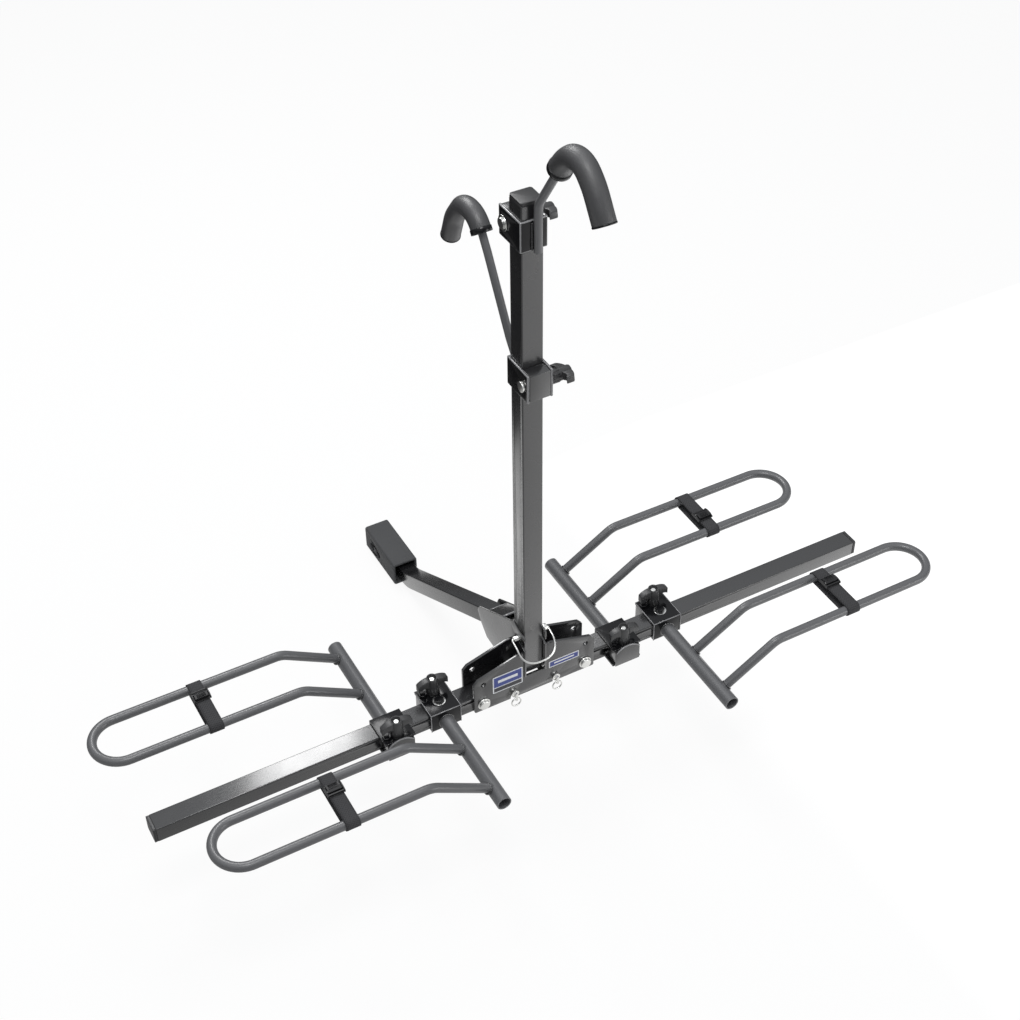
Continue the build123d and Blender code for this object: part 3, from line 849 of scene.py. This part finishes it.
def wing_outline(side):
    span = WING_HALF - WING_ROOT
    stations = [WING_ROOT + span * i / WING_STEPS for i in range(WING_STEPS + 1)]
    over = [(side * u, CREST - 0.0066 * (u / WING_HALF) ** 3.2) for u in stations]
    under = [
        (side * u, 0.0192 - 0.0052 * ((u - 0.0165) / 0.011) ** 2) for u in reversed(stations)
    ]
    return over + under


def add_wing(bm, side):
    wing = bmesh.new()
    prism(wing, wing_outline(side), X, Z, Y * (-WING_THICK / 2), Y * WING_THICK)
    bmesh.ops.recalc_face_normals(wing, faces=wing.faces)
    for vert in wing.verts:
        share = (abs(vert.co.x) - WING_ROOT) / (WING_HALF - WING_ROOT)
        vert.co.y *= 1 - WING_TAPER * share
    soften(wing, 0.0024, segments=3, angle=50)
    held = bpy.data.meshes.new("wing")
    wing.to_mesh(held)
    wing.free()
    bm.from_mesh(held)
    bpy.data.meshes.remove(held)


print("knob span %.4f m" % (2 * WING_HALF))

# %% [markdown]
# The hub is round and hollow at its top, where it holds a nut, and small ribs run up its foot for
# grip. It could be cut from a cylinder, but one closed outline turned round the axis gives the
# recess and the flare at once, and each rib is a thin box turned round the same axis.

# %% Hub of the tee knobs
HUB_LINE = [
    (0.0042, 0.0), (0.0108, 0.0), (0.011, 0.0016), (0.0106, 0.012), (0.01, 0.022),
    (0.0099, 0.0325), (0.0092, 0.0345), (0.0079, 0.0345), (0.0075, 0.0338), (0.0072, 0.0285),
    (0.0042, 0.0285),
]
HUB_RIBS = 12
KNOB_NUT_R = 0.0044
KNOB_NUT_UP = 0.0298


def tee_knob(name, node, body, place):
    bm = bmesh.new()
    turned(bm, HUB_LINE)
    for side in (-1, 1):
        add_wing(bm, side)
    for k in range(HUB_RIBS):
        rib = box_at(bm, (0.009, -0.0008, 0.002), (0.0113, 0.0008, 0.0145))
        spun = Matrix.Rotation(k * FULL_TURN / HUB_RIBS, 3, "Z")
        bmesh.ops.rotate(bm, verts=rib, cent=(0, 0, 0), matrix=spun)
    bm.transform(place)
    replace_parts(piece(bm, name, "knob_plastic", body), node)
    nut = bmesh.new()
    made = bmesh.ops.create_cone(
        nut, segments=6, radius1=KNOB_NUT_R, radius2=KNOB_NUT_R, depth=0.0026, cap_ends=True
    )["verts"]
    bmesh.ops.translate(nut, verts=made, vec=(0, 0, KNOB_NUT_UP))
    soften(nut, 0.0004)
    nut.transform(place)
    piece(nut, f"{name}_nut", "zinc", body, smooth=False)


print("hub height %.4f m" % max(w for r, w in HUB_LINE))

# %% [markdown]
# A knob sits on its clamp bolt. On the wheel hoops the bolts stand upright, and on the frame hooks
# they lie along the crossbar, so there the knob is laid over with its wings nearly level.

# %% Knobs put on their bolts
HOOK_TEE = Vector((0, -0.975, 0.225)).normalized()
for hoop in HOOP_SIDES:
    low, high = box_of(f"{hoop}_knob")
    foot = Vector(((low.x + high.x) / 2, (low.y + high.y) / 2, low.z))
    place = Matrix.Translation(foot)
    tee_knob(f"{hoop}_tee_handle", f"{hoop}_knob", f"{hoop}_tee_knob", place)
for hook in ("upper", "lower"):
    low, high = box_of(f"{hook}_hook_knob")
    foot = Vector((low.x, (low.y + high.y) / 2, (low.z + high.z) / 2))
    laid = Matrix((HOOK_TEE, X.cross(HOOK_TEE), X)).transposed().to_4x4()
    place = Matrix.Translation(foot) @ laid
    tee_knob(f"{hook}_hook_tee_handle", f"{hook}_hook_knob", f"{hook}_hook_tee_knob", place)

# %% [markdown]
# A weld is a row of overlapping puddles of metal. A bump texture could draw them, but it vanishes
# in profile. So a thin bead is carried round a joint or along it, and its skin is rippled by a
# sine along its length, which reads as puddles from near by.

# %% Weld beads
BEAD = 0.0019
SMALL_BEAD = 0.0016
RIPPLE = 0.00022
PUDDLE = 0.0028


def ring_weld(name, centre, normal, radius, body, bead=BEAD):
    bm = bmesh.new()
    made = bmesh.ops.create_circle(bm, segments=10, radius=bead, cap_ends=False)["verts"]
    bmesh.ops.rotate(bm, verts=made, cent=(0, 0, 0), matrix=quarter("X"))
    bmesh.ops.translate(bm, verts=made, vec=(radius, 0, 0))
    bmesh.ops.spin(
        bm, geom=bm.verts[:] + bm.edges[:], cent=(0, 0, 0), axis=(0, 0, 1), angle=FULL_TURN,
        steps=96, use_merge=True,
    )
    bmesh.ops.remove_doubles(bm, verts=bm.verts, dist=0.0000001)
    puddles = round(FULL_TURN * radius / PUDDLE)
    for vert in bm.verts:
        turn = math.atan2(vert.co.y, vert.co.x)
        core = Vector((vert.co.x, vert.co.y, 0)).normalized() * radius
        vert.co += (vert.co - core).normalized() * RIPPLE * math.sin(puddles * turn)
    bm.transform(facing(centre, normal))
    piece(bm, name, "frame_paint", body)


def line_weld(name, start, end, body, bead=BEAD):
    along = end - start
    steps = max(8, round(along.length / 0.0007))
    bm = bmesh.new()
    bmesh.ops.create_circle(bm, segments=10, radius=bead, cap_ends=True)
    for step in range(steps):
        level = along.length * step / steps
        top = [f for f in bm.faces if all(abs(v.co.z - level) < 1e-7 for v in f.verts)][:1]
        pulled_out(bm, top, (0, 0, along.length / steps))
    for vert in bm.verts:
        away = Vector((vert.co.x, vert.co.y, 0)).normalized()
        vert.co += away * RIPPLE * math.sin(FULL_TURN * vert.co.z / PUDDLE)
    bm.transform(facing(start, along))
    piece(bm, name, "frame_paint", body)


print("weld helpers ready, puddle %.4f m" % PUDDLE)

# %% [markdown]
# Beads go where tube meets plate: round each hoop's support tube, round both legs of each loop rod,
# and on both sides of each hook rod along its bracket.

# %% Welds put on their joints
TUBE_R = 0.0127
TUBE_LOWER = 0.004
LOOP_LEGS = (0.096, 0.1895)
LEG_RISE = (0.1065, 0.0647)
HOOK_WELD_OFF = 0.0036
HOOK_WELD_SHORT = {"upper": 0.004, "lower": 0.028}
for hoop, (side, tube) in HOOP_SIDES.items():
    low, high = box_of(f"{hoop}_bracket")
    tube_at = Vector(((low.x + high.x) / 2, BAR_Y, BAR_Z - TUBE_LOWER))
    body = f"{hoop}_hoop"
    ring_weld(f"{hoop}_tube_weld", tube_at + Y * (tube * BRACKET_WALL), Y, TUBE_R, body)
    rise = Vector((side * LEG_RISE[0], 0, LEG_RISE[1])).normalized()
    for k, leg in enumerate(LOOP_LEGS):
        centre = tube_at + Y * (tube * leg) + rise * (TUBE_R + 0.0012)
        ring_weld(f"{hoop}_leg_weld_{k}", centre, rise, ROD_R + 0.0004, body, SMALL_BEAD)
for hook, back in (("upper", -1), ("lower", 1)):
    low, high = box_of(f"{hook}_hook_bracket")
    weld_y = BAR_Y + back * BRACKET_WALL + back * 0.0008
    for side, word in ((-1, "left"), (1, "right")):
        foot = Vector((side * HOOK_WELD_OFF, weld_y, low.z + 0.002))
        top = Vector((side * HOOK_WELD_OFF, weld_y, high.z - HOOK_WELD_SHORT[hook]))
        line_weld(f"{hook}_rod_weld_{word}", foot, top, f"{hook}_hook", SMALL_BEAD)

# %% [markdown]
# A pressed clamp face has its arched lip rolled over, which shows as one bright line along the
# arch. A bevel on the solid would be too narrow to be seen from where the camera stands, so a thin
# round section is laid along the arch, in a light grey that paints the highlight on it.

# %% Rolled lips on the jaws, with a painted highlight
ARCH_TOP = 0.023
ARCH_DROP = 0.010
LIP_STEPS = 24
LIP_R = 0.0013
for hoop, (side, tube) in HOOP_SIDES.items():
    low, high = box_of(f"{hoop}_jaw")
    centre_x = (low.x + high.x) / 2
    half = (high.x - low.x) / 2
    lip_y = (low.y if tube > 0 else high.y) + tube * 0.0004
    lip = []
    for i in range(LIP_STEPS + 1):
        along = -1 + 2 * i / LIP_STEPS
        rise = ARCH_TOP - ARCH_DROP * abs(along) ** 2.2
        lip.append(Vector((centre_x + along * (half - LIP_R), lip_y, BAR_Z + rise - LIP_R * 0.6)))
    bm = bmesh.new()
    tube_along(bm, lip, LIP_R, steps=8)
    piece(bm, f"{hoop}_jaw_lip_highlight", "edge_highlight_paint", f"{hoop}_hoop")
print("jaw lips", len(HOOP_SIDES))

# %% [markdown]
# The near brackets show a bright line along each bent edge of the steel. A wider bevel on the solid
# would eat into its flat faces, so each edge is drawn like the lips, as a thin round section that
# lies half inside the steel, in a light grey that paints the highlight.

# %% Painted highlights on the bent edges of the near brackets
BRACKET_HALF_TALL = 0.01915
BRACKET_MOUTH = 0.041
EDGE_R = 0.0009
for hoop in ("left_near", "right_near"):
    tube = HOOP_SIDES[hoop][1]
    low, high = box_of(f"{hoop}_bracket")
    mouth_y = BAR_Y - tube * BRACKET_MOUTH
    wall_y = BAR_Y + tube * BRACKET_WALL
    top_z = BAR_Z + BRACKET_HALF_TALL
    foot_z = BAR_Z - BRACKET_HALF_TALL
    runs = [
        ((low.x, wall_y, top_z), (high.x, wall_y, top_z)),
        ((low.x, mouth_y, top_z), (high.x, mouth_y, top_z)),
        ((low.x, mouth_y, top_z), (low.x, wall_y, top_z)),
        ((high.x, mouth_y, top_z), (high.x, wall_y, top_z)),
        ((low.x, wall_y, foot_z), (low.x, wall_y, top_z)),
        ((high.x, wall_y, foot_z), (high.x, wall_y, top_z)),
    ]
    bm = bmesh.new()
    for start, end in runs:
        tube_along(bm, [Vector(start).lerp(Vector(end), t) for t in (0, 0.5, 1)], EDGE_R, steps=8)
    piece(bm, f"{hoop}_bracket_edge_highlights", "edge_highlight_paint", f"{hoop}_hoop")
print("edge runs on each near bracket", len(runs))

# %% [markdown]
# The photograph has a bright mark at each end of the tie plate between the gussets. They are read
# here as ends folded down on the shank, where a bend would catch the light. A fold is a bend of
# small radius, so a round section across the plate shows it, and its light grey paints the
# highlight.

# %% Folds of the tie plate, with a painted highlight
FOLD_R = 0.0022
FOLD_WIDE = 0.033
FOLD_STEPS = 4
FOLDS = ((0.0555, 0.0985), (0.1052, 0.0695))
for k, (fold_y, fold_z) in enumerate(FOLDS):
    start = Vector((-FOLD_WIDE / 2, BAR_Y + fold_y, BAR_Z + fold_z))
    bm = bmesh.new()
    line = [start + X * (FOLD_WIDE * i / FOLD_STEPS) for i in range(FOLD_STEPS + 1)]
    tube_along(bm, line, FOLD_R, steps=12)
    piece(bm, f"tie_plate_fold_highlight_{k}", "edge_highlight_paint", "frame")
print("tie plate folds", len(FOLDS))

# %% [markdown]
# A sticker is a thin sheet with rounded corners. An image on the plate would be the usual way, but
# this rack carries no print, so each sheet is a grid of one face with its corners bevelled, turned
# upright and pulled out by its thickness.

# %% Sticker sheets
STICKER_THICK = 0.00025
LABEL_COLOURS = {
    "label_white": (0.72, 0.73, 0.75),
    "label_blue": (0.035, 0.055, 0.24),
    "label_dark": (0.03, 0.03, 0.035),
}
for name, colour in LABEL_COLOURS.items():
    FINISHES[name] = coated(name.replace("_", " "), colour, 0.35, scale=400, depth=0.02)
plate_y = box_of("front_plate")[0].y


def flat_patch(name, finish, x0, x1, z0, z1, lift, corner):
    bm = bmesh.new()
    made = bmesh.ops.create_grid(bm, x_segments=1, y_segments=1, size=0.5)["verts"]
    bmesh.ops.scale(bm, verts=made, vec=(x1 - x0, z1 - z0, 1))
    bmesh.ops.bevel(
        bm, geom=bm.verts[:], offset=corner, segments=4, affect="VERTICES", profile=0.5,
        material=-1,
    )
    bmesh.ops.rotate(bm, verts=bm.verts, cent=(0, 0, 0), matrix=quarter("X"))
    pulled_out(bm, bm.faces[:], (0, -STICKER_THICK, 0))
    place = Vector(((x0 + x1) / 2, plate_y - lift, BAR_Z + (z0 + z1) / 2))
    bmesh.ops.translate(bm, verts=bm.verts, vec=place)
    piece(bm, name, finish, "frame", smooth=False)


print("front plate face at y %.4f" % plate_y)

# %% [markdown]
# Two stickers sit on the front plate. They carry no words here: each is a white sheet with a blue
# field and a plain bar, one sheet a hair above the other so that no two faces share a plane.

# %% Plain stickers
STICKER_RIM = 0.0022
STICKER_LIFTS = (0.00002, 0.0003, 0.0006)
LABELS = {
    "left": (-0.081, -0.024, 0.014, 0.052),
    "right": (0.027, 0.086, 0.021, 0.036),
}
for side, (x0, x1, z0, z1) in LABELS.items():
    under, field, bar = STICKER_LIFTS
    rim = STICKER_RIM
    flat_patch(f"{side}_label", "label_white", x0, x1, z0, z1, under, 0.002)
    split = z0 + (z1 - z0) * 0.34 if side == "left" else z0 + rim
    inner = (x0 + rim, x1 - rim)
    flat_patch(f"{side}_label_field", "label_blue", *inner, split, z1 - rim, field, 0.0006)
    if side == "left":
        flat_patch("left_label_rule", "label_dark", *inner, z0 + rim, split - rim, field, 0.0006)
    inset = (x1 - x0) * 0.17
    tall = z1 - split
    flat_patch(
        f"{side}_label_bar", "label_white", x0 + inset, x1 - inset,
        split + tall * 0.36, split + tall * 0.6, bar, 0.0005,
    )
print("labels", len(LABELS))

# %% [markdown]
# Bolt heads are where bare zinc shows. A pressed head is a shallow dome over a flat washer, and a
# nut is a hexagon with its corners rounded off. Each could be copied from a library, but a cut
# sphere and two cones with softened edges are all that it takes.

# %% Bolt heads, nuts and washers
def dome(name, centre, away, radius, height, body):
    bm = bmesh.new()
    bmesh.ops.create_uvsphere(bm, u_segments=28, v_segments=14, radius=radius)
    bmesh.ops.bisect_plane(
        bm, geom=bm.verts[:] + bm.edges[:] + bm.faces[:], plane_co=(0, 0, 0.0001),
        plane_no=(0, 0, 1), clear_inner=True,
    )
    bmesh.ops.contextual_create(bm, geom=[e for e in bm.edges if e.is_boundary])
    bmesh.ops.scale(bm, verts=bm.verts, vec=(1, 1, height / radius))
    bm.transform(facing(centre, away))
    piece(bm, name, "zinc", body)


def flat_disc(name, sides, edge, centre, away, radius, thick, body, finish):
    bm = bmesh.new()
    bmesh.ops.create_cone(
        bm, segments=sides, radius1=radius, radius2=radius, depth=thick, cap_ends=True
    )
    soften(bm, edge)
    bm.transform(facing(centre, away))
    piece(bm, name, finish, body, smooth=False)


def washer(name, centre, away, radius, body, thick=0.0014, finish="zinc"):
    flat_disc(name, 40, 0.0004, centre, away, radius, thick, body, finish)


def hex_nut(name, centre, away, radius, thick, body, finish):
    flat_disc(name, 6, 0.0007, centre, away, radius, thick, body, finish)


print("bolt helpers ready")

# %% [markdown]
# The arms turn on two zinc-headed bolts in the front plate. Round each hoop clamp the photograph
# has bright spots without clear outlines. They are read as the knob's own washer, a set bolt and a
# smaller side bolt, and placed one by one. The set bolt's washer is bright zinc on the near hoops,
# where the spots are brightest, as a painted highlight; the same washer is black on the far hoops,
# as is the rest of this hardware.

# %% Heads put on their bolts
PIVOT_X = 0.0985
BOLT_OUT = 0.0275
SET_BOLT_OFF = 0.024
SIDE_BOLT_OFF = 0.019
KNOB_WASHER_R = 0.0122
SET_WASHER_R = 0.0112
SET_NUT = (0.0084, 0.0056)
SIDE_NUT = (0.0078, 0.0054)
DOME_UNDER = 0.0236
BLACK = {"finish": "clamp_paint"}
pivot_y = box_of("arm_pivot_bolts")[0].y
for word, pivot_x in (("left", -PIVOT_X), ("right", PIVOT_X)):
    dome(f"{word}_pivot_dome", Vector((pivot_x, pivot_y, BAR_Z)), -Y, 0.0093, 0.0022, "frame")
    seat = Vector((pivot_x, plate_y - 0.0009, BAR_Z))
    washer(f"{word}_pivot_washer", seat, Y, 0.0115, "frame")
for hoop, (side, tube) in HOOP_SIDES.items():
    low, high = box_of(f"{hoop}_bracket")
    bolt_at = Vector(((low.x + high.x) / 2, BAR_Y - tube * BOLT_OUT, 0))
    top_z = BAR_Z + BRACKET_HALF_TALL
    body = f"{hoop}_hoop"
    seat = bolt_at + Z * (top_z + 0.0008)
    washer(f"{hoop}_knob_washer", seat, Z, KNOB_WASHER_R, body, **BLACK)
    set_at = bolt_at + Y * (tube * SET_BOLT_OFF) + Z * top_z
    # Painted highlight: the same set washer is bright zinc on the near hoops and black on the far
    # ones.
    set_washer_highlight_finish = "zinc" if tube < 0 else "clamp_paint"
    washer(f"{hoop}_set_washer", set_at + Z * 0.0007, Z, SET_WASHER_R, body, finish=set_washer_highlight_finish)
    hex_nut(f"{hoop}_set_nut", set_at + Z * 0.0034, Z, *SET_NUT, body, **BLACK)
    side_at = bolt_at - X * SIDE_BOLT_OFF + Z * top_z
    hex_nut(f"{hoop}_side_nut", side_at + Z * 0.0028, Z, *SIDE_NUT, body, **BLACK)
    washer(f"{hoop}_side_stub", side_at + Z * 0.007, Z, 0.0044, body, 0.0056, **BLACK)
    dome(f"{hoop}_bolt_dome", bolt_at + Z * (BAR_Z - DOME_UNDER), -Z, 0.0082, 0.0016, body)
low, high = box_of("upper_hook_clamp_bolt")
seat_x = box_of("upper_hook_bracket")[0].x - 0.0007
seat = Vector((seat_x, (low.y + high.y) / 2, (low.z + high.z) / 2))
washer("upper_hook_washer", seat, X, KNOB_WASHER_R, "upper_hook")
